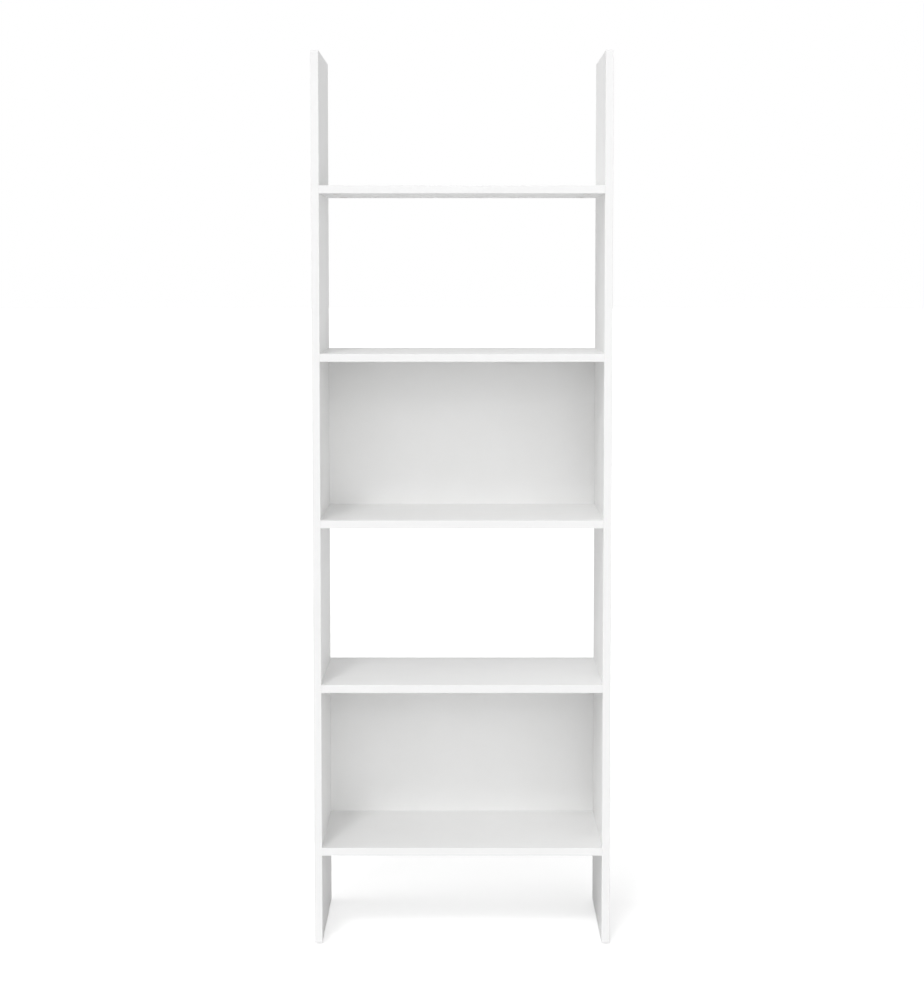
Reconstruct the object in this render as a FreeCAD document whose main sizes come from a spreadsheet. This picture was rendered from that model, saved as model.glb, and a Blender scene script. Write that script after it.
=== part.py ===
import FreeCAD, Part
import os
import Sketcher

# Open upright shelf of white-faced board: two full-height side panels carry five fixed shelves,
# and two thin back panels close the second and fourth bays.  Every board edge that shows is
# covered by a glued strip.  Cam fittings and dowels hold the shelves to the side panels.
# Frame: +Z up, front towards -Y, origin on the floor under the middle of the shelf.  Millimetres.

DIMENSIONS = {
    # carcass
    "width": 600,
    "depth": 300,
    "height": 1803,
    "board": 16,
    "shelf_count": 5,
    "leg_height": 183,         # floor to the underside of the bottom shelf
    "headroom": 266,           # side panels above the top shelf
    # glued strips on the board edges
    "strip": 1,
    "strip_round": 0.8,
    # thin back panels in grooves
    "back_board": 3,
    "back_inset": 10,          # back edge of the carcass to the front of a back panel
    "groove_depth": 5,
    "groove_play": 0.2,
    "back_side_play": 0.5,
    "back_top_play": 1,
    # drilling for the shelf fittings
    "fitting_inset": 37,       # board edge to the outer fitting
    "fitting_step": 32,        # outer fitting to the dowel beside it
    "cam_setback": 34,         # end of the shelf to the middle of a cam
    "cam_bore": 15.2,
    "cam_bore_depth": 12.5,
    "bolt_bore": 8,
    "bolt_hole": 5,
    "bolt_hole_depth": 11.5,
    "dowel_bore": 8.1,
    "dowel_side_depth": 11,
    "dowel_shelf_depth": 20.5,
    # cam: a cup with a slot for the bolt's neck and a cross-shaped drive
    "cam_width": 15,
    "cam_height": 12,
    "cam_pit": 9.6,
    "cam_pit_floor": 4.4,
    "cam_pit_height": 7.2,
    "cam_slot": 4.6,
    "drive_width": 1.4,
    "drive_length": 7,
    "drive_depth": 2.5,
    "drive_hub": 5,
    # cap over the cam
    "cap_width": 17,
    "cap_thickness": 1,
    "cap_round": 0.6,
    "stub_width": 4.8,
    "stub_length": 2,
    # cam bolt: distances along it are from the face of the side panel
    "thread_length": 11,
    "thread_point": 2.4,
    "thread_start": 10.4,
    "thread_pitch": 1.6,
    "thread_root": 3.9,
    "thread_crest": 4.92,
    "collar_width": 7.2,
    "collar_length": 1.2,
    "shank_width": 6,
    "shank_end": 25.4,
    "neck_width": 3.9,
    "neck_start": 26,
    "neck_end": 30.8,
    "head_width": 6.6,
    "head_start": 31.4,
    "head_end": 33.6,
    "head_tip": 34.6,
    "head_tip_width": 4.4,
    # dowel
    "dowel_width": 8,
    "dowel_length": 30,
    "dowel_in_side": 10,
    "dowel_chamfer": 1,
    "flute_width": 0.7,
    "flute_count": 8,
    # nail-on glides under the side panels
    "glide_inset": 40,
    "glide_width": 14,
    "glide_height": 3,
    "glide_round": 1.2,
    "nail_hole": 2,
    "nail_hole_depth": 15,
    "nail_width": 1.96,
    "nail_point": 4,
    "nail_head_width": 4.4,
    "nail_head_height": 0.8,
    "nail_recess": 1.6,
    "nail_recess_width": 5,
}

SHELF_NAMES = ("bottom_shelf", "fourth_shelf", "middle_shelf", "second_shelf", "top_shelf")
BACK_NAMES = {0: "lower_back_panel", 2: "upper_back_panel"}    # keyed by the shelf each stands on
THREAD_TURNS = 6

# Sizes that follow from the driving dimensions, as expressions on the sheet.
INNER_WIDTH = "(dims.width - 2 * dims.board)"
SIDE_HEIGHT = "(dims.height - dims.glide_height)"
CORE_DEPTH = "(dims.depth - 2 * dims.strip)"
CORE_HEIGHT = f"({SIDE_HEIGHT} - 2 * dims.strip)"
CORE_BOTTOM = "(dims.glide_height + dims.strip)"
BAY_HEIGHT = ("((dims.height - dims.leg_height - dims.headroom - dims.shelf_count * dims.board)"
              " / (dims.shelf_count - 1))")
SHELF_PITCH = f"({BAY_HEIGHT} + dims.board)"
GROOVE_WIDTH = "(dims.back_board + dims.groove_play)"
GROOVE_FRONT = "(dims.depth / 2 - dims.back_inset - dims.groove_play / 2)"
CAM_X = f"({INNER_WIDTH} / 2 - dims.cam_setback)"
CAM_Y = "(dims.depth / 2 - dims.fitting_inset)"
DOWEL_Y = f"({CAM_Y} - dims.fitting_step)"
GLIDE_Y = "(dims.depth / 2 - dims.glide_inset)"

ACROSS = FreeCAD.Vector(1, 0, 0)
INWARD = FreeCAD.Vector(0, 1, 0)
UP = FreeCAD.Vector(0, 0, 1)
STRAIGHT = FreeCAD.Rotation(UP, 0)
ABOUT_FACE = FreeCAD.Rotation(UP, 180)


def shelf_bottom(index):
    """Height of a shelf's underside, counted from the bottom shelf."""
    return f"(dims.leg_height + {index} * {SHELF_PITCH})"


def negative(size):
    return f"-({size})"


# ---------------------------------------------------------------- document and sheet

def new_document():
    doc = FreeCAD.newDocument("open_shelf")
    sheet = doc.addObject("Spreadsheet::Sheet", "dims")
    for row, (alias, value) in enumerate(DIMENSIONS.items(), start=1):
        sheet.set(f"A{row}", alias)
        sheet.set(f"B{row}", str(value))
        sheet.setAlias(f"B{row}", alias)
    doc.recompute()
    return doc


# ---------------------------------------------------------------- sketches

def origin_feature(body, role):
    return next(item for item in body.Origin.OriginFeatures if item.Role == role)


def sketch_on(body, role, name, offset=None):
    """A sketch on one of the body's own planes, moved along the plane's normal by offset."""
    sketch = body.newObject("Sketcher::SketchObject", name)
    sketch.AttachmentSupport = (origin_feature(body, role), "")
    sketch.MapMode = "FlatFace"
    if offset is not None:
        sketch.setExpression("AttachmentOffset.Base.z", offset)
    return sketch


def value_of(sketch, size):
    """Present value of an expression, so that the solver starts near the answer."""
    return float(sketch.evalExpression(size))


def bind(sketch, kind, *points, size):
    """Add a dimension whose value is an expression on the sheet."""
    start = value_of(sketch, size)
    index = sketch.addConstraint(Sketcher.Constraint(kind, *points, start))
    sketch.setExpression(f"Constraints[{index}]", size)


def pin_point(sketch, geometry, vertex, across, along):
    """Fix a point at a place given from the sketch's origin."""
    for kind, axis, size in (("DistanceX", -2, across), ("DistanceY", -1, along)):
        value = value_of(sketch, size)
        if value == 0:
            sketch.addConstraint(Sketcher.Constraint("PointOnObject", geometry, vertex, axis))
        elif value > 0:
            bind(sketch, kind, -1, 1, geometry, vertex, size=size)
        else:
            bind(sketch, kind, geometry, vertex, -1, 1, size=negative(size))


def closed_loop(sketch, points):
    """Straight sides through the points, joined end to end."""
    corners = [FreeCAD.Vector(value_of(sketch, u), value_of(sketch, v), 0) for u, v in points]
    following = corners[1:] + corners[:1]
    sides = [sketch.addGeometry(Part.LineSegment(*ends)) for ends in zip(corners, following)]
    for side, after in zip(sides, sides[1:] + sides[:1]):
        sketch.addConstraint(Sketcher.Constraint("Coincident", side, 2, after, 1))
    return sides


def rectangle(sketch, left, low, length, height):
    """A rectangle from its lower left corner."""
    right, high = f"{left} + {length}", f"{low} + {height}"
    sides = closed_loop(sketch, [(left, low), (right, low), (right, high), (left, high)])
    for side, direction in zip(sides, ("Horizontal", "Vertical", "Horizontal", "Vertical")):
        sketch.addConstraint(Sketcher.Constraint(direction, side))
    pin_point(sketch, sides[0], 1, left, low)
    bind(sketch, "DistanceX", sides[0], 1, sides[0], 2, size=length)
    bind(sketch, "DistanceY", sides[1], 1, sides[1], 2, size=height)


def circle(sketch, across, along, diameter):
    centre = FreeCAD.Vector(value_of(sketch, across), value_of(sketch, along), 0)
    ring = sketch.addGeometry(Part.Circle(centre, UP, value_of(sketch, diameter) / 2))
    pin_point(sketch, ring, 3, across, along)
    bind(sketch, "Diameter", ring, size=diameter)


# ---------------------------------------------------------------- features

def new_body(doc, name):
    body = doc.addObject("PartDesign::Body", name)
    body.Label = name
    return body


def place(item, rotation, x="0", y="0", z="0"):
    item.Placement = FreeCAD.Placement(FreeCAD.Vector(), rotation)
    for axis, size in (("x", x), ("y", y), ("z", z)):
        item.setExpression(f"Placement.Base.{axis}", size)


def pad(body, sketch, length):
    feature = body.newObject("PartDesign::Pad", f"{sketch.Name}_pad")
    feature.Profile = sketch
    feature.setExpression("Length", length)
    body.Document.recompute()


def cut_made(body, feature, volume_before):
    """Recompute after a cut, and stop if it took nothing away."""
    body.Document.recompute()
    if not body.Shape.Volume < volume_before:
        raise RuntimeError(f"{feature.Name} cuts nothing")
    return feature


def pocket(body, sketch, depth, along_normal=False):
    """Cut from the sketch against its plane's normal, or along it."""
    before = body.Shape.Volume
    feature = body.newObject("PartDesign::Pocket", f"{sketch.Name}_pocket")
    feature.Profile = sketch
    feature.Reversed = along_normal
    feature.setExpression("Length", depth)
    return cut_made(body, feature, before)


def mirrored_cuts(body, name, cuts):
    """The same cuts on the other side of the body's YZ plane."""
    before = body.Shape.Volume
    feature = body.newObject("PartDesign::Mirrored", name)
    feature.Originals = cuts
    feature.MirrorPlane = (origin_feature(body, "YZ_Plane"), [""])
    body.Tip = feature
    return cut_made(body, feature, before)


def rows_of_cuts(body, name, cut, span, count):
    """The same cut repeated up the body's Z axis."""
    before = body.Shape.Volume
    feature = body.newObject("PartDesign::LinearPattern", name)
    feature.Originals = [cut]
    feature.Direction = (origin_feature(body, "Z_Axis"), [""])
    feature.setExpression("Length", span)
    feature.setExpression("Occurrences", count)
    body.Tip = feature
    return cut_made(body, feature, before)


def ring_of_cuts(body, name, cut, count):
    """The same cut repeated round the body's X axis."""
    before = body.Shape.Volume
    feature = body.newObject("PartDesign::PolarPattern", name)
    feature.Originals = [cut]
    feature.Axis = (origin_feature(body, "X_Axis"), [""])
    feature.Angle = 360
    feature.setExpression("Occurrences", count)
    body.Tip = feature
    return cut_made(body, feature, before)


def turned(doc, name, plane, axis, stations):
    """A body turned from a half section, given as (distance across, distance along) stations."""
    body = new_body(doc, name)
    section = sketch_on(body, plane, f"{name}_half_section")
    sides = closed_loop(section, stations)
    for side, station in zip(sides, stations):
        pin_point(section, side, 1, *station)
    feature = body.newObject("PartDesign::Revolution", f"{name}_turning")
    feature.Profile = section
    feature.ReferenceAxis = (section, [axis])
    feature.Angle = 360
    doc.recompute()
    return body


def round_edges(body, wanted, radius):
    """Fillet the edges of the body that wanted(edge) picks."""
    base = body.Tip
    names = [f"Edge{i}" for i, edge in enumerate(base.Shape.Edges, start=1) if wanted(edge)]
    feature = body.newObject("PartDesign::Fillet", f"{body.Name}_rounding")
    feature.Base = (base, names)
    feature.setExpression("Radius", radius)
    body.Document.recompute()


# ---------------------------------------------------------------- boards

def side_panel(doc, name):
    """Right-hand side panel.  Its inner face is the body's YZ plane, and z = 0 is its lower end."""
    body = new_body(doc, name)
    face = sketch_on(body, "YZ_Plane", f"{name}_face")
    rectangle(face, f"-{CORE_DEPTH} / 2", "0", CORE_DEPTH, CORE_HEIGHT)
    pad(body, face, "dims.board")

    lowest_row = f"{shelf_bottom(0)} + dims.board / 2 - {CORE_BOTTOM}"
    drillings = (("bolt_holes", CAM_Y, "dims.bolt_hole", "dims.bolt_hole_depth"),
                 ("dowel_holes", DOWEL_Y, "dims.dowel_bore", "dims.dowel_side_depth"))
    for label, y, diameter, depth in drillings:
        row = sketch_on(body, "YZ_Plane", f"{name}_{label}")
        for across in (y, negative(y)):
            circle(row, across, lowest_row, diameter)
        drilled = pocket(body, row, depth, along_normal=True)
        rows_of_cuts(body, f"{name}_{label}_rows", drilled,
                     f"{SHELF_PITCH} * (dims.shelf_count - 1)", "dims.shelf_count")

    grooves = sketch_on(body, "YZ_Plane", f"{name}_grooves")
    groove_length = f"({BAY_HEIGHT} + 2 * dims.groove_depth)"
    for index in BACK_NAMES:
        start = f"{shelf_bottom(index)} + dims.board - dims.groove_depth - {CORE_BOTTOM}"
        rectangle(grooves, GROOVE_FRONT, start, GROOVE_WIDTH, groove_length)
    pocket(body, grooves, "dims.groove_depth", along_normal=True)

    nails = sketch_on(body, "XY_Plane", f"{name}_nail_holes")
    for along in (GLIDE_Y, negative(GLIDE_Y)):
        circle(nails, "dims.board / 2", along, "dims.nail_hole")
    pocket(body, nails, "dims.nail_hole_depth", along_normal=True)
    place(body, STRAIGHT, x=f"{INNER_WIDTH} / 2", z=CORE_BOTTOM)
    return body


def shelf(doc, name, index):
    """A shelf, drilled from below for the cams and from both ends for bolts and dowels."""
    body = new_body(doc, name)
    left = f"-{INNER_WIDTH} / 2"
    face = sketch_on(body, "XY_Plane", f"{name}_face")
    rectangle(face, left, f"-{CORE_DEPTH} / 2", INNER_WIDTH, CORE_DEPTH)
    pad(body, face, "dims.board")

    cams = sketch_on(body, "XY_Plane", f"{name}_cam_bores")
    for across in (CAM_X, negative(CAM_X)):
        for along in (CAM_Y, negative(CAM_Y)):
            circle(cams, across, along, "dims.cam_bore")
    pocket(body, cams, "dims.cam_bore_depth", along_normal=True)

    drilled = []
    drillings = (("bolt_bores", CAM_Y, "dims.bolt_bore", "dims.cam_setback"),
                 ("dowel_bores", DOWEL_Y, "dims.dowel_bore", "dims.dowel_shelf_depth"))
    for label, y, diameter, depth in drillings:
        end = sketch_on(body, "YZ_Plane", f"{name}_{label}", offset=f"{INNER_WIDTH} / 2")
        for across in (y, negative(y)):
            circle(end, across, "dims.board / 2", diameter)
        drilled.append(pocket(body, end, depth))
    mirrored_cuts(body, f"{name}_other_end", drilled)

    if index in BACK_NAMES:
        groove = sketch_on(body, "XY_Plane", f"{name}_top_groove", offset="dims.board")
        rectangle(groove, left, GROOVE_FRONT, INNER_WIDTH, GROOVE_WIDTH)
        pocket(body, groove, "dims.groove_depth")
    if index - 1 in BACK_NAMES:
        groove = sketch_on(body, "XY_Plane", f"{name}_under_groove")
        rectangle(groove, left, GROOVE_FRONT, INNER_WIDTH, GROOVE_WIDTH)
        pocket(body, groove, "dims.groove_depth", along_normal=True)
    place(body, STRAIGHT, z=shelf_bottom(index))
    return body


def back_panel(doc, name, index):
    """A thin panel that stands in the groove of the shelf below it."""
    body = new_body(doc, name)
    length = f"({INNER_WIDTH} + 2 * dims.groove_depth - 2 * dims.back_side_play)"
    height = f"({BAY_HEIGHT} + 2 * dims.groove_depth - dims.back_top_play)"
    face = sketch_on(body, "XZ_Plane", f"{name}_face")
    rectangle(face, f"-{length} / 2", "0", length, height)
    pad(body, face, "dims.back_board")
    place(body, STRAIGHT, y="dims.depth / 2 - dims.back_inset + dims.back_board",
          z=f"{shelf_bottom(index)} + dims.board - dims.groove_depth")
    return body


def edge_strip(doc, name, length, nailed=False):
    """A glued strip along local Z.  Its outer face looks to local -Y and has rounded long edges."""
    body = new_body(doc, name)
    section = sketch_on(body, "XY_Plane", f"{name}_section")
    rectangle(section, "-dims.board / 2", "-dims.strip", "dims.board", "dims.strip")
    pad(body, section, length)

    def outer_long_edge(edge):
        lengthwise = abs(edge.tangentAt(edge.FirstParameter).z) > 0.99
        return lengthwise and edge.CenterOfMass.y < -DIMENSIONS["strip"] / 2

    round_edges(body, outer_long_edge, "dims.strip_round")
    if nailed:
        holes = sketch_on(body, "XZ_Plane", f"{name}_nail_holes")
        for offset in (GLIDE_Y, negative(GLIDE_Y)):
            circle(holes, "0", f"{CORE_DEPTH} / 2 + {offset}", "dims.nail_hole")
        pocket(body, holes, "dims.strip", along_normal=True)
    return body


def side_strips(doc):
    """The four strips round the right-hand side panel."""
    x = "(dims.width - dims.board) / 2"
    edge_y = f"{CORE_DEPTH} / 2"
    front = edge_strip(doc, "right_side_front_strip", SIDE_HEIGHT)
    place(front, STRAIGHT, x=x, y=f"-{edge_y}", z="dims.glide_height")
    back = edge_strip(doc, "right_side_back_strip", SIDE_HEIGHT)
    place(back, ABOUT_FACE, x=x, y=edge_y, z="dims.glide_height")
    top = edge_strip(doc, "right_side_top_strip", CORE_DEPTH)
    place(top, FreeCAD.Rotation(ACROSS, -90), x=x, y=f"-{edge_y}", z="dims.height - dims.strip")
    bottom = edge_strip(doc, "right_side_bottom_strip", CORE_DEPTH, nailed=True)
    place(bottom, FreeCAD.Rotation(ACROSS, 90), x=x, y=edge_y, z=CORE_BOTTOM)
    return [front, back, top, bottom]


def shelf_strips(doc, name, index):
    """The front and back strips of one shelf, cut to its length."""
    edge_y = f"{CORE_DEPTH} / 2"
    middle = f"{shelf_bottom(index)} + dims.board / 2"
    lying = FreeCAD.Rotation(INWARD, 90)
    front = edge_strip(doc, f"{name}_front_strip", INNER_WIDTH)
    place(front, lying, x=f"-{INNER_WIDTH} / 2", y=f"-{edge_y}", z=middle)
    back = edge_strip(doc, f"{name}_back_strip", INNER_WIDTH)
    place(back, ABOUT_FACE * lying, x=f"{INNER_WIDTH} / 2", y=edge_y, z=middle)
    return [front, back]


# ---------------------------------------------------------------- fittings

def cam_lock(doc):
    """A cast cam.  Its driven face is z = 0, and its slot opens towards +X."""
    body = new_body(doc, "cam_lock")
    disc = sketch_on(body, "XY_Plane", "cam_disc")
    circle(disc, "0", "0", "dims.cam_width")
    pad(body, disc, "dims.cam_height")

    pit = sketch_on(body, "XY_Plane", "cam_pit", offset="dims.cam_pit_floor")
    circle(pit, "0", "0", "dims.cam_pit")
    pocket(body, pit, "dims.cam_pit_height", along_normal=True)
    slot = sketch_on(body, "YZ_Plane", "cam_slot")
    rectangle(slot, "-dims.cam_slot / 2", "dims.board / 2 - dims.cam_slot / 2",
              "dims.cam_slot", "dims.cam_slot")
    pocket(body, slot, "dims.cam_width", along_normal=True)

    hub = sketch_on(body, "XY_Plane", "drive_hub")
    circle(hub, "0", "0", "dims.drive_hub")
    pocket(body, hub, "dims.drive_depth", along_normal=True)
    for label, wide, tall in (("drive_across", "dims.drive_length", "dims.drive_width"),
                              ("drive_along", "dims.drive_width", "dims.drive_length")):
        blade = sketch_on(body, "XY_Plane", label)
        rectangle(blade, f"-{wide} / 2", f"-{tall} / 2", wide, tall)
        pocket(body, blade, "dims.drive_depth", along_normal=True)
    return body


def cam_cap(doc):
    """A cover cap: a thin disc below z = 0 with a stub that plugs up into the cam."""
    cap, stub = "dims.cap_width / 2", "dims.stub_width / 2"
    low = "-dims.cap_thickness"
    body = turned(doc, "cam_cap", "XZ_Plane", "V_Axis", [
        ("0", low), (cap, low), (cap, "0"), (stub, "0"), (stub, "dims.stub_length"),
        ("0", "dims.stub_length"),
    ])

    def lower_rim(edge):
        wide = edge.BoundBox.XLength > DIMENSIONS["stub_width"] * 2
        return wide and edge.CenterOfMass.z < -DIMENSIONS["cap_thickness"] / 2

    round_edges(body, lower_rim, "dims.cap_round")
    return body


def cam_bolt(doc):
    """A bolt screwed into a side panel.  x = 0 is the panel's face, and the head points to +X."""
    root, crest = "dims.thread_root / 2", "dims.thread_crest / 2"
    stations = [("-dims.thread_length", "0"), ("-dims.thread_length", "dims.thread_point / 2")]
    for turn in range(THREAD_TURNS):
        start = f"-dims.thread_start + {turn} * dims.thread_pitch"
        stations += [
            (start, root),
            (f"{start} + 0.4 * dims.thread_pitch", crest),
            (f"{start} + 0.6 * dims.thread_pitch", crest),
        ]
    stations += [
        (f"-dims.thread_start + {THREAD_TURNS} * dims.thread_pitch", root),
        ("0", root),
        ("0", "dims.collar_width / 2"),
        ("dims.collar_length", "dims.collar_width / 2"),
        ("dims.collar_length", "dims.shank_width / 2"),
        ("dims.shank_end", "dims.shank_width / 2"),
        ("dims.neck_start", "dims.neck_width / 2"),
        ("dims.neck_end", "dims.neck_width / 2"),
        ("dims.head_start", "dims.head_width / 2"),
        ("dims.head_end", "dims.head_width / 2"),
        ("dims.head_tip", "dims.head_tip_width / 2"),
        ("dims.head_tip", "0"),
    ]
    return turned(doc, "cam_bolt", "XY_Plane", "H_Axis", stations)


def dowel(doc):
    """A fluted dowel along X.  x = 0 is the joint between side panel and shelf."""
    near, far = "-dims.dowel_in_side", "dims.dowel_length - dims.dowel_in_side"
    radius = "dims.dowel_width / 2"
    end_radius = f"{radius} - dims.dowel_chamfer"
    body = turned(doc, "dowel", "XY_Plane", "H_Axis", [
        (near, "0"), (near, end_radius), (f"{near} + dims.dowel_chamfer", radius),
        (f"{far} - dims.dowel_chamfer", radius), (far, end_radius), (far, "0"),
    ])
    flute = sketch_on(body, "YZ_Plane", "dowel_flute", offset=near)
    circle(flute, "0", radius, "dims.flute_width")
    cut = pocket(body, flute, "dims.dowel_length", along_normal=True)
    ring_of_cuts(body, "dowel_flutes", cut, "dims.flute_count")
    return body


def glide(doc):
    """A nail-on glide.  It is turned about Z, stands on z = 0 and has a recess for the nail's head."""
    rim, recess, bore = "dims.glide_width / 2", "dims.nail_recess_width / 2", "dims.nail_hole / 2"
    body = turned(doc, "glide", "XZ_Plane", "V_Axis", [
        (recess, "0"), (rim, "0"), (rim, "dims.glide_height"), (bore, "dims.glide_height"),
        (bore, "dims.nail_recess"), (recess, "dims.nail_recess"),
    ])

    def foot_rim(edge):
        wide = edge.BoundBox.XLength > DIMENSIONS["nail_recess_width"] * 2
        return wide and edge.CenterOfMass.z < DIMENSIONS["glide_height"] / 2

    round_edges(body, foot_rim, "dims.glide_round")
    return body


def nail(doc):
    """The nail of a glide, turned about Z, with its head in the glide's recess."""
    shank, head = "dims.nail_width / 2", "dims.nail_head_width / 2"
    head_low = "dims.nail_recess - dims.nail_head_height"
    tip = f"{CORE_BOTTOM} + dims.nail_hole_depth"
    return turned(doc, "nail", "XZ_Plane", "V_Axis", [
        ("0", head_low), (head, head_low), (head, "dims.nail_recess"),
        (shank, "dims.nail_recess"), (shank, f"{tip} - dims.nail_point"), ("0", tip),
    ])


def group(doc, name, master, spots):
    """Copies of one master piece, gathered in a single sub-part of separate solids."""
    copies = []
    for number, (rotation, x, y, z) in enumerate(spots, start=1):
        copy = doc.addObject("App::Link", f"{name}_{number}")
        copy.LinkedObject = master
        place(copy, rotation, x=x, y=y, z=z)
        copies.append(copy)
    gathered = doc.addObject("Part::Compound", name)
    gathered.Label = name
    gathered.Links = copies
    return gathered


def fitting_spots(x, y, rise, right_rotation, left_rotation):
    """Four places on every shelf, at both ends and near both edges."""
    spots = []
    for index in range(len(SHELF_NAMES)):
        z = f"{shelf_bottom(index)} + {rise}"
        for across, rotation in ((x, right_rotation), (negative(x), left_rotation)):
            spots += [(rotation, across, along, z) for along in (y, negative(y))]
    return spots


def fittings(doc):
    panel_face = f"({INNER_WIDTH} / 2)"
    mid_board = "dims.board / 2"
    side_middle = "(dims.width - dims.board) / 2"
    cam_spots = fitting_spots(CAM_X, CAM_Y, "0", STRAIGHT, ABOUT_FACE)
    bolt_spots = fitting_spots(panel_face, CAM_Y, mid_board, ABOUT_FACE, STRAIGHT)
    dowel_spots = fitting_spots(panel_face, DOWEL_Y, mid_board, ABOUT_FACE, STRAIGHT)
    glide_spots = [(STRAIGHT, across, along, "0")
                   for across in (side_middle, negative(side_middle))
                   for along in (GLIDE_Y, negative(GLIDE_Y))]
    return [
        group(doc, "cam_locks", cam_lock(doc), cam_spots),
        group(doc, "cam_caps", cam_cap(doc), cam_spots),
        group(doc, "cam_bolts", cam_bolt(doc), bolt_spots),
        group(doc, "shelf_dowels", dowel(doc), dowel_spots),
        group(doc, "floor_glides", glide(doc), glide_spots),
        group(doc, "glide_nails", nail(doc), glide_spots),
    ]


# ---------------------------------------------------------------- assembly

def left_twin(doc, right):
    """The left-hand twin of a right-hand piece, mirrored across the middle of the carcass."""
    twin = doc.addObject("Part::Mirroring", right.Name.replace("right", "left"))
    twin.Label = twin.Name
    twin.Source = right
    twin.Base = FreeCAD.Vector()
    twin.Normal = ACROSS
    return twin


def build(doc):
    right_pieces = [side_panel(doc, "right_side_panel")] + side_strips(doc)
    pieces = right_pieces + [left_twin(doc, piece) for piece in right_pieces]
    for index, name in enumerate(SHELF_NAMES):
        pieces.append(shelf(doc, name, index))
        pieces += shelf_strips(doc, name, index)
    pieces += [back_panel(doc, name, index) for index, name in BACK_NAMES.items()]
    pieces += fittings(doc)
    doc.recompute()
    return pieces


def check(doc, pieces):
    for item in doc.Objects:
        if "Invalid" in item.State or "Error" in item.State:
            raise RuntimeError(f"{item.Name} did not recompute: {item.State}")
    for piece in pieces:
        if piece.Shape.isNull() or not piece.Shape.isValid() or not piece.Shape.Solids:
            raise RuntimeError(f"{piece.Label} has no valid solid")


def write_parts(pieces):
    os.makedirs("parts", exist_ok=True)
    for piece in pieces:
        piece.Shape.exportStep(os.path.join("parts", f"{piece.Label}.step"))
        box = piece.Shape.BoundBox
        print(f"{piece.Label:26s} solids {len(piece.Shape.Solids):3d}"
              f"  volume {piece.Shape.Volume:11.1f}"
              f"  x {box.XMin:8.2f} {box.XMax:8.2f}"
              f"  y {box.YMin:8.2f} {box.YMax:8.2f}"
              f"  z {box.ZMin:8.2f} {box.ZMax:8.2f}")


def main():
    doc = new_document()
    pieces = build(doc)
    check(doc, pieces)
    write_parts(pieces)


main()
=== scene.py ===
import math

import bmesh
import bpy
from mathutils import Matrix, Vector


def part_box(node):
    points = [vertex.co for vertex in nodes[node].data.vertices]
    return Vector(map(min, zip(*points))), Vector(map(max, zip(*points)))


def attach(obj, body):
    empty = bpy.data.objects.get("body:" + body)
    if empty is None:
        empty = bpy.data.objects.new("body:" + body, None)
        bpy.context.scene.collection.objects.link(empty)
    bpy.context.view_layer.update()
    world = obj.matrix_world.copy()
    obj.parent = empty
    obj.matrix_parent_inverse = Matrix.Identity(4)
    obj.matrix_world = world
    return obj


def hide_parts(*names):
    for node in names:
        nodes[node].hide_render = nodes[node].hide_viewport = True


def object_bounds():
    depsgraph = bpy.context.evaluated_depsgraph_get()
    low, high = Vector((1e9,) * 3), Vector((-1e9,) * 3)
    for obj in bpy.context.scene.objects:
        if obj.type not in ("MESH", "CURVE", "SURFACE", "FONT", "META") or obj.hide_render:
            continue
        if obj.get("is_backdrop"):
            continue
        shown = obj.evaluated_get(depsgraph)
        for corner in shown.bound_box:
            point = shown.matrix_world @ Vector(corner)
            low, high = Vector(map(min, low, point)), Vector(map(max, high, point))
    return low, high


# White upright shelf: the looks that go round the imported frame.  Metres, front towards -Y.

MM = 0.001
BODY = "root"

# Camera: in front of the middle of the shelf, at the height of its upper half, tilted down a little.
CAMERA_DISTANCE = 4.170        # to the plane of the shelf's front edges
CAMERA_HEIGHT = 1.383
CAMERA_PITCH = math.radians(4.2)
FRAME_WIDTH, FRAME_HEIGHT = 924, 1000
SENSOR_HEIGHT = 36.0
LENS = 75.3
LENS_SHIFT = -0.0832

# Easing of the cut edges, and what counts as a cut edge
MERGE_DISTANCE = 0.001 * MM
FLAT_ANGLE = math.radians(0.5)      # faces closer than this are one flat face
CUT_ANGLE = math.radians(40)        # edges sharper than this are eased
SHARP_ANGLE = math.radians(50)      # eased edges sharper than this stay sharp in the shading
FACE_REACH = 0.01 * MM              # a broad face lies this close to the board's box
FACING = 0.99                       # and its normal is at least this much along the board's thin axis
BOARD_EASE = 0.15 * MM
STRIP_EASE = 0.10 * MM
PLASTIC_EASE = 0.20 * MM
NAIL_EASE = 0.04 * MM

# Light.  The room's right, back and top were given.  The other strengths were solved by least
# squares from trial renders with one light each, to bring the faces near the photograph's brightness,
# and then rounded.
# Room: axis, side of it, brightness
ROOM_LIGHT = [(0, 1.0, 0.50), (0, -1.0, 0.33), (1, 1.0, 0.80), (1, -1.0, 1.65), (2, 1.0, 0.30)]
FLOOR_LIFT = 0.45
FLOOR_RADIUS = 60.0
FLOOR_CORNERS = 96
# Suns: name, direction of travel, energy, angular width in degrees
SUNS = [("key", (0.27, 1.0, -1.07), 0.68, 10.0),
        ("side_key", (1.0, 0.5, -0.7), 0.32, 30.0),
        ("overhead", (1.0, 0.05, -1.0), 0.57, 25.0)]
STRIP_LIGHT_SIZE = (10.6, 1.6)
STRIP_LIGHT_ENERGY = 320.0
STRIP_LIGHT_TRAVEL = (-5.6, 30.0, -11.2)   # from the lamp to the shelf

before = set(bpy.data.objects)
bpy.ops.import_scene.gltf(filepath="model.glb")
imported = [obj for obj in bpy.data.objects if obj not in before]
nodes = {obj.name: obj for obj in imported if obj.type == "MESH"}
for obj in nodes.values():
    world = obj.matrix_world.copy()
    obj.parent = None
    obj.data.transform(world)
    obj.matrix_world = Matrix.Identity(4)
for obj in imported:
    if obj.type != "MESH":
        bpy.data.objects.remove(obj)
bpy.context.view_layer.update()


# ---------------------------------------------------------------- node helpers

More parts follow.
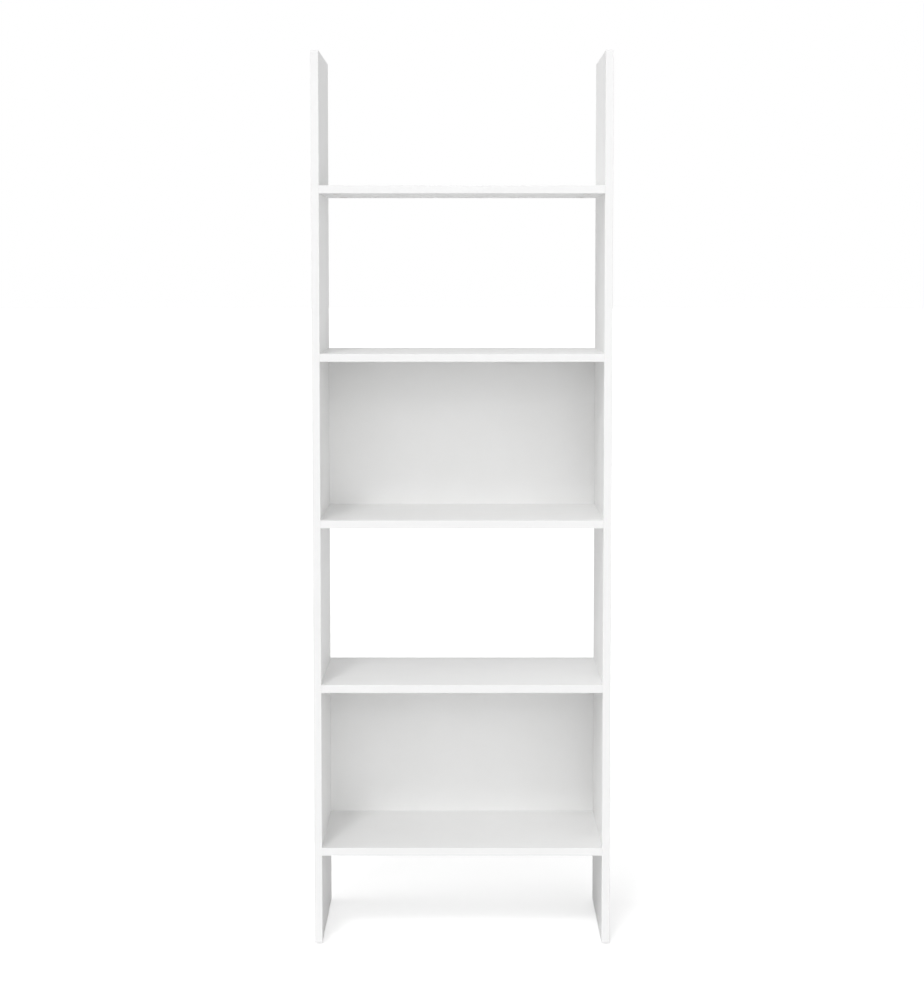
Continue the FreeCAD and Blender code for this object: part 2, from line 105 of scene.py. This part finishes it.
class Shader:
    """A node tree with one Principled shader, and short ways to add to it."""

    def __init__(self, name, color, roughness, **inputs):
        self.material = bpy.data.materials.new(name)
        self.material.use_nodes = True
        self.tree = self.material.node_tree
        self.surface = self.tree.nodes["Principled BSDF"]
        self.surface.inputs["Base Color"].default_value = (*color, 1.0)
        self.surface.inputs["Roughness"].default_value = roughness
        for label, value in inputs.items():
            self.surface.inputs[label.replace("_", " ")].default_value = value
        self.place = self.add("ShaderNodeTexCoord").outputs["Object"]

    def add(self, kind, **settings):
        node = self.tree.nodes.new(kind)
        for key, value in settings.items():
            setattr(node, key, value)
        return node

    def link(self, source, target):
        self.tree.links.new(source, target)

    def stretched(self, scale):
        """The place on the object, scaled along each axis."""
        mapping = self.add("ShaderNodeMapping")
        mapping.inputs["Scale"].default_value = scale
        self.link(self.place, mapping.inputs["Vector"])
        return mapping.outputs["Vector"]

    def noise(self, scale, detail=3.0, roughness=0.5, stretch=(1, 1, 1)):
        texture = self.add("ShaderNodeTexNoise")
        texture.inputs["Scale"].default_value = scale
        texture.inputs["Detail"].default_value = detail
        texture.inputs["Roughness"].default_value = roughness
        self.link(self.stretched(stretch), texture.inputs["Vector"])
        return texture.outputs["Fac"]

    def cells(self, scale, feature="F1", stretch=(1, 1, 1), output="Distance"):
        texture = self.add("ShaderNodeTexVoronoi", feature=feature)
        texture.inputs["Scale"].default_value = scale
        self.link(self.stretched(stretch), texture.inputs["Vector"])
        return texture.outputs[output]

    def spread(self, value, low, high, start=0.3, stop=0.7):
        """Map a texture's usual range onto low to high."""
        node = self.add("ShaderNodeMapRange")
        for label, number in (("From Min", start), ("From Max", stop), ("To Min", low), ("To Max", high)):
            node.inputs[label].default_value = number
        self.link(value, node.inputs["Value"])
        return node.outputs["Result"]

    def total(self, *values):
        result = values[0]
        for value in values[1:]:
            node = self.add("ShaderNodeMath", operation="ADD")
            self.link(result, node.inputs[0])
            self.link(value, node.inputs[1])
            result = node.outputs["Value"]
        return result

    def ramp(self, value, stops):
        node = self.add("ShaderNodeValToRGB")
        points = node.color_ramp.elements
        while len(points) < len(stops):
            points.new(0.5)
        for point, (position, color) in zip(points, stops):
            point.position = position
            point.color = (*color, 1.0)
        self.link(value, node.inputs["Fac"])
        return node.outputs["Color"]

    def blend(self, factor, first, second):
        node = self.add("ShaderNodeMix", data_type="RGBA")
        self.link(factor, node.inputs["Factor"])
        self.link(first, node.inputs["A"])
        self.link(second, node.inputs["B"])
        return node.outputs["Result"]

    def color(self, output):
        self.link(output, self.surface.inputs["Base Color"])

    def gloss(self, output):
        self.link(output, self.surface.inputs["Roughness"])

    def bump(self, *layers):
        """Stack bumps, each given as (height output, depth in metres)."""
        normal = None
        for height, depth in layers:
            node = self.add("ShaderNodeBump")
            node.inputs["Strength"].default_value = 1.0
            node.inputs["Distance"].default_value = depth
            self.link(height, node.inputs["Height"])
            if normal is not None:
                self.link(normal, node.inputs["Normal"])
            normal = node.outputs["Normal"]
        self.link(normal, self.surface.inputs["Normal"])


# ---------------------------------------------------------------- materials

def melamine():
    """White melamine paper pressed with a fine pearl texture."""
    shader = Shader("white_melamine", (0.893, 0.893, 0.890), 0.40)
    tone = shader.noise(5.0, detail=4.0)
    shader.color(shader.ramp(tone, [(0.30, (0.884, 0.884, 0.880)), (0.70, (0.902, 0.902, 0.899))]))
    wiped = shader.noise(26.0, detail=5.0, stretch=(1.0, 1.0, 0.35))
    speckle = shader.noise(900.0, detail=2.0)
    shader.gloss(shader.total(shader.spread(wiped, 0.31, 0.43), shader.spread(speckle, 0.0, 0.08)))
    pearl = shader.cells(850.0, feature="SMOOTH_F1")
    grain = shader.noise(2600.0, detail=2.0)
    press = shader.noise(14.0, detail=2.0)
    shader.bump((press, 0.14 * MM), (pearl, 0.03 * MM), (grain, 0.010 * MM))
    return shader.material


def edging(run):
    """White plastic strip with faint drawing lines along its run (0, 1 or 2 for x, y or z)."""
    stretch = [1.0, 1.0, 1.0]
    stretch[run] = 0.01
    shader = Shader(f"white_edging_{'xyz'[run]}", (0.834, 0.834, 0.834), 0.34)
    tone = shader.noise(7.0, detail=3.0)
    shader.color(shader.ramp(tone, [(0.30, (0.826, 0.826, 0.825)), (0.70, (0.842, 0.842, 0.842))]))
    lines = shader.noise(1400.0, detail=4.0, stretch=stretch)
    scuffs = shader.noise(60.0, detail=6.0, stretch=stretch)
    shader.gloss(shader.total(shader.spread(lines, 0.27, 0.37), shader.spread(scuffs, 0.0, 0.08, 0.5, 0.75)))
    shader.bump((lines, 0.015 * MM), (shader.noise(1800.0, detail=2.0), 0.008 * MM))
    return shader.material


def chipboard():
    """Raw chipboard in the cut edges, drillings and grooves."""
    shader = Shader("raw_chipboard", (0.48, 0.34, 0.20), 0.9)
    chips = shader.cells(420.0, stretch=(1.0, 1.0, 1.7), output="Color")
    fibres = shader.noise(1500.0, detail=5.0, stretch=(0.5, 1.0, 1.4))
    wood = shader.ramp(fibres, [(0.25, (0.26, 0.16, 0.08)), (0.50, (0.50, 0.35, 0.20)),
                                (0.80, (0.68, 0.52, 0.33))])
    separate = shader.add("ShaderNodeSeparateColor")
    shader.link(chips, separate.inputs["Color"])
    light = shader.ramp(separate.outputs["Red"], [(0.0, (0.34, 0.22, 0.12)), (0.6, (0.56, 0.41, 0.25)),
                                                  (1.0, (0.72, 0.58, 0.40))])
    shader.color(shader.blend(shader.spread(shader.noise(700.0), 0.25, 0.75), wood, light))
    shader.gloss(shader.spread(fibres, 0.78, 0.95))
    shader.bump((separate.outputs["Green"], 0.12 * MM), (fibres, 0.08 * MM))
    return shader.material


def paper_edge():
    """The thin line where a board's paper face is cut and a strip is glued on."""
    shader = Shader("paper_edge", (0.62, 0.59, 0.54), 0.6)
    tone = shader.noise(900.0, detail=4.0)
    shader.color(shader.ramp(tone, [(0.35, (0.54, 0.50, 0.44)), (0.65, (0.70, 0.68, 0.64))]))
    shader.gloss(shader.spread(tone, 0.5, 0.7))
    shader.bump((tone, 0.01 * MM))
    return shader.material


def lacquered_hardboard():
    """Thin hardboard under white lacquer, with the fibres just showing through."""
    shader = Shader("white_hardboard", (0.892, 0.892, 0.888), 0.46)
    cloud = shader.noise(9.0, detail=5.0)
    shader.color(shader.ramp(cloud, [(0.30, (0.882, 0.882, 0.877)), (0.70, (0.902, 0.902, 0.899))]))
    fibres = shader.noise(520.0, detail=6.0, roughness=0.65, stretch=(0.35, 1.0, 1.0))
    shader.gloss(shader.spread(fibres, 0.40, 0.52))
    shader.bump((cloud, 0.16 * MM), (fibres, 0.035 * MM))
    return shader.material


def raw_hardboard():
    """Brown cut edge of the hardboard."""
    shader = Shader("raw_hardboard", (0.30, 0.19, 0.11), 0.85)
    fibres = shader.noise(2200.0, detail=5.0, stretch=(0.4, 1.0, 0.4))
    shader.color(shader.ramp(fibres, [(0.30, (0.20, 0.12, 0.06)), (0.70, (0.40, 0.27, 0.16))]))
    shader.gloss(shader.spread(fibres, 0.75, 0.92))
    shader.bump((fibres, 0.03 * MM))
    return shader.material


def moulded_plastic(name, color, roughness, scatter):
    """Spark-eroded moulded plastic: a matt, finely pitted skin."""
    shader = Shader(name, color, roughness, Subsurface_Weight=scatter, Subsurface_Scale=2.0 * MM)
    pits = shader.cells(2400.0)
    tone = shader.noise(60.0, detail=3.0)
    dull = tuple(channel * 0.97 for channel in color)
    shader.color(shader.ramp(tone, [(0.30, dull), (0.70, color)]))
    shader.gloss(shader.spread(shader.noise(300.0, detail=4.0), roughness - 0.07, roughness + 0.07))
    shader.bump((pits, 0.012 * MM))
    return shader.material


def metal(name, color, roughness, grain_stretch, relief):
    """Plated, cast or drawn metal: the grain's stretch and relief make the difference."""
    shader = Shader(name, color, roughness, Metallic=1.0)
    grain = shader.noise(1600.0, detail=5.0, stretch=grain_stretch)
    cloud = shader.noise(180.0, detail=4.0)
    dark = tuple(channel * 0.8 for channel in color)
    shader.color(shader.ramp(cloud, [(0.35, dark), (0.65, color)]))
    shader.gloss(shader.total(shader.spread(grain, roughness - 0.08, roughness + 0.08),
                              shader.spread(cloud, -0.05, 0.05)))
    shader.bump((grain, relief))
    return shader.material


def beech():
    """Turned beech: fine lengthwise grain with short dark flecks."""
    shader = Shader("beech", (0.62, 0.44, 0.28), 0.55)
    grain = shader.noise(700.0, detail=6.0, stretch=(0.08, 1.0, 1.0))
    flecks = shader.cells(900.0, stretch=(0.25, 1.0, 1.0))
    body = shader.ramp(grain, [(0.30, (0.50, 0.33, 0.19)), (0.70, (0.70, 0.52, 0.34))])
    spots = shader.ramp(flecks, [(0.05, (0.32, 0.19, 0.10)), (0.18, (0.68, 0.50, 0.33))])
    shader.color(shader.blend(shader.spread(flecks, 0.0, 1.0, 0.0, 0.25), spots, body))
    shader.gloss(shader.spread(grain, 0.48, 0.62))
    shader.bump((grain, 0.03 * MM))
    return shader.material


# ---------------------------------------------------------------- pieces from the frame

def set_materials(item, *materials):
    """Give an object these materials, in this order, instead of its own."""
    item.data.materials.clear()
    for material in materials:
        item.data.materials.append(material)


def eased_copy(node, width, materials, skin=None, rim=0):
    """A new piece in a node's place: its solid with every cut edge eased.

    skin(face) picks the faces of the first material; the others take the second.  rim is the
    material of the eased edges.
    """
    shape = bmesh.new()
    shape.from_mesh(nodes[node].data)
    bmesh.ops.remove_doubles(shape, verts=shape.verts, dist=MERGE_DISTANCE)
    bmesh.ops.dissolve_limit(shape, angle_limit=FLAT_ANGLE, verts=shape.verts, edges=shape.edges)
    for face in shape.faces:
        face.smooth = True
        face.material_index = 0 if skin is None or skin(face) else 1
    sharp = [edge for edge in shape.edges if edge.calc_face_angle(0.0) > CUT_ANGLE]
    bmesh.ops.bevel(shape, geom=sharp, offset=width, offset_type="OFFSET", segments=2, profile=0.5,
                    affect="EDGES", clamp_overlap=True, material=rim)
    mesh = bpy.data.meshes.new(f"{node}_eased")
    shape.to_mesh(mesh)
    shape.free()
    mesh.set_sharp_from_angle(angle=SHARP_ANGLE)
    piece = bpy.data.objects.new(f"{node}_piece", mesh)
    bpy.context.scene.collection.objects.link(piece)
    set_materials(piece, *materials)
    weighted = piece.modifiers.new("flat_faces_lead", "WEIGHTED_NORMAL")
    weighted.keep_sharp = True
    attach(piece, BODY)
    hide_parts(node)


def broad_faces(node, axis):
    """A test for the two outer faces of a board that is thin along axis."""
    low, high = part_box(node)

    def is_broad(face):
        middle = face.calc_center_median()[axis]
        outside = middle < low[axis] + FACE_REACH or middle > high[axis] - FACE_REACH
        return outside and abs(face.normal[axis]) > FACING

    return is_broad


def make_boards(names, axis, materials):
    """Boards thin along axis; materials are for the faces, the cut core and the eased edges."""
    for name in names:
        eased_copy(name, BOARD_EASE, materials, skin=broad_faces(name, axis), rim=2)


def make_strips(names):
    """Edge strips, each with its drawing lines along its longest side."""
    finishes = [edging(run) for run in range(3)]
    for name in names:
        low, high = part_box(name)
        lengths = list(high - low)
        run = lengths.index(max(lengths))
        eased_copy(name, STRIP_EASE, [finishes[run]])


def build_shelf():
    face, core, cut_line = melamine(), chipboard(), paper_edge()
    sides = [name for name in nodes if name.endswith("_side_panel")]
    shelves = [name for name in nodes if name.endswith("_shelf")]
    backs = [name for name in nodes if name.endswith("_back_panel")]
    strips = [name for name in nodes if name.endswith("_strip")]
    make_boards(sides, 0, [face, core, cut_line])
    make_boards(shelves, 2, [face, core, cut_line])
    make_boards(backs, 1, [lacquered_hardboard(), raw_hardboard(), raw_hardboard()])
    make_strips(strips)
    eased_copy("cam_caps", PLASTIC_EASE,
               [moulded_plastic("cap_plastic", (0.80, 0.80, 0.78), 0.45, 0.05)])
    eased_copy("floor_glides", PLASTIC_EASE,
               [moulded_plastic("glide_plastic", (0.78, 0.78, 0.75), 0.38, 0.25)])
    set_materials(nodes["cam_locks"], metal("cast_zinc", (0.56, 0.57, 0.58), 0.48, (1, 1, 1), 0.03 * MM))
    set_materials(nodes["cam_bolts"], metal("zinc_plate", (0.74, 0.74, 0.72), 0.26, (0.1, 1, 1), 0.006 * MM))
    eased_copy("glide_nails", NAIL_EASE,
               [metal("drawn_wire", (0.52, 0.52, 0.53), 0.34, (1, 1, 0.1), 0.01 * MM)])
    set_materials(nodes["shelf_dowels"], beech())


# ---------------------------------------------------------------- stage, light and camera

def make_floor():
    """A wide pale floor with a faint cloudiness, lifted to the white of the room for the camera."""
    low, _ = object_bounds()
    shape = bmesh.new()
    bmesh.ops.create_circle(shape, cap_ends=True, segments=FLOOR_CORNERS, radius=FLOOR_RADIUS)
    mesh = bpy.data.meshes.new("floor")
    shape.to_mesh(mesh)
    shape.free()
    floor = bpy.data.objects.new("floor", mesh)
    floor.location.z = low.z
    bpy.context.scene.collection.objects.link(floor)
    shader = Shader("pale_floor", (0.80, 0.80, 0.80), 0.7, Specular_IOR_Level=0.3)
    cloud = shader.noise(2.0, detail=3.0)
    shader.color(shader.ramp(cloud, [(0.3, (0.79, 0.79, 0.79)), (0.7, (0.81, 0.81, 0.81))]))
    shader.surface.inputs["Emission Color"].default_value = (1.0, 1.0, 1.0, 1.0)
    lift = shader.add("ShaderNodeMath", operation="MULTIPLY")
    shader.link(shader.add("ShaderNodeLightPath").outputs["Is Camera Ray"], lift.inputs[0])
    lift.inputs[1].default_value = FLOOR_LIFT
    shader.link(lift.outputs["Value"], shader.surface.inputs["Emission Strength"])
    floor.data.materials.append(shader.material)
    floor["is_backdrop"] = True


def make_room_light():
    """A soft white room, brightest in front of the shelf.

    Each brightness in ROOM_LIGHT is how bright the room is along one direction; between them
    the brightness blends with the square of the direction.  The camera sees plain white.
    """
    world = bpy.data.worlds.new("white_room")
    world.use_nodes = True
    bpy.context.scene.world = world
    tree = world.node_tree

    def math_node(operation, first, second):
        node = tree.nodes.new("ShaderNodeMath")
        node.operation = operation
        for socket, value in zip(node.inputs, (first, second)):
            if isinstance(value, float):
                socket.default_value = value
            else:
                tree.links.new(value, socket)
        return node.outputs["Value"]

    axes = tree.nodes.new("ShaderNodeSeparateXYZ")
    tree.links.new(tree.nodes.new("ShaderNodeTexCoord").outputs["Generated"], axes.inputs["Vector"])
    strength = 0.0
    for axis, sign, brightness in ROOM_LIGHT:
        along = math_node("MAXIMUM", math_node("MULTIPLY", axes.outputs[axis], sign), 0.0)
        lobe = math_node("MULTIPLY", math_node("MULTIPLY", along, along), brightness)
        strength = math_node("ADD", strength, lobe)
    room = tree.nodes["Background"]
    room.inputs["Color"].default_value = (1.0, 1.0, 1.0, 1.0)
    tree.links.new(strength, room.inputs["Strength"])
    white = tree.nodes.new("ShaderNodeBackground")
    white.inputs["Color"].default_value = (1.0, 1.0, 1.0, 1.0)
    either = tree.nodes.new("ShaderNodeMixShader")
    tree.links.new(tree.nodes.new("ShaderNodeLightPath").outputs["Is Camera Ray"], either.inputs["Fac"])
    tree.links.new(room.outputs["Background"], either.inputs[1])
    tree.links.new(white.outputs["Background"], either.inputs[2])
    tree.links.new(either.outputs["Shader"], tree.nodes["World Output"].inputs["Surface"])


def place_light(name, data, travel, origin=(0.0, 0.0, 0.0)):
    """Aim a lamp along travel; a sun has no place, so its origin doesn't matter."""
    lamp = bpy.data.objects.new(name, data)
    lamp.location = origin
    lamp.rotation_mode = "QUATERNION"
    lamp.rotation_quaternion = Vector(travel).to_track_quat("-Z", "Y")
    bpy.context.scene.collection.objects.link(lamp)


def make_lamps():
    """Three soft lamps from the left and above, and a weak long strip light on the right."""
    for name, travel, energy, spread in SUNS:
        data = bpy.data.lights.new(name, "SUN")
        data.energy = energy
        data.angle = math.radians(spread)
        place_light(name, data, travel)
    data = bpy.data.lights.new("strip_light", "AREA")
    data.shape = "RECTANGLE"
    data.size, data.size_y = STRIP_LIGHT_SIZE
    data.energy = STRIP_LIGHT_ENERGY
    travel = Vector(STRIP_LIGHT_TRAVEL)
    place_light("strip_light", data, travel, -travel)


def make_camera():
    """The photograph's viewpoint; a tilt and a shift share the downward look."""
    low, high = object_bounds()
    data = bpy.data.cameras.new("camera")
    data.sensor_fit = "VERTICAL"
    data.sensor_height = SENSOR_HEIGHT
    data.sensor_width = SENSOR_HEIGHT * FRAME_WIDTH / FRAME_HEIGHT
    data.lens = LENS
    data.shift_y = LENS_SHIFT
    camera = bpy.data.objects.new("camera", data)
    camera.location = ((low.x + high.x) / 2, low.y - CAMERA_DISTANCE, CAMERA_HEIGHT)
    camera.rotation_euler = (math.radians(90) - CAMERA_PITCH, 0.0, 0.0)
    bpy.context.scene.collection.objects.link(camera)
    bpy.context.scene.camera = camera


build_shelf()
make_floor()
make_room_light()
make_lamps()
make_camera()
bpy.context.scene.view_settings.view_transform = "Standard"
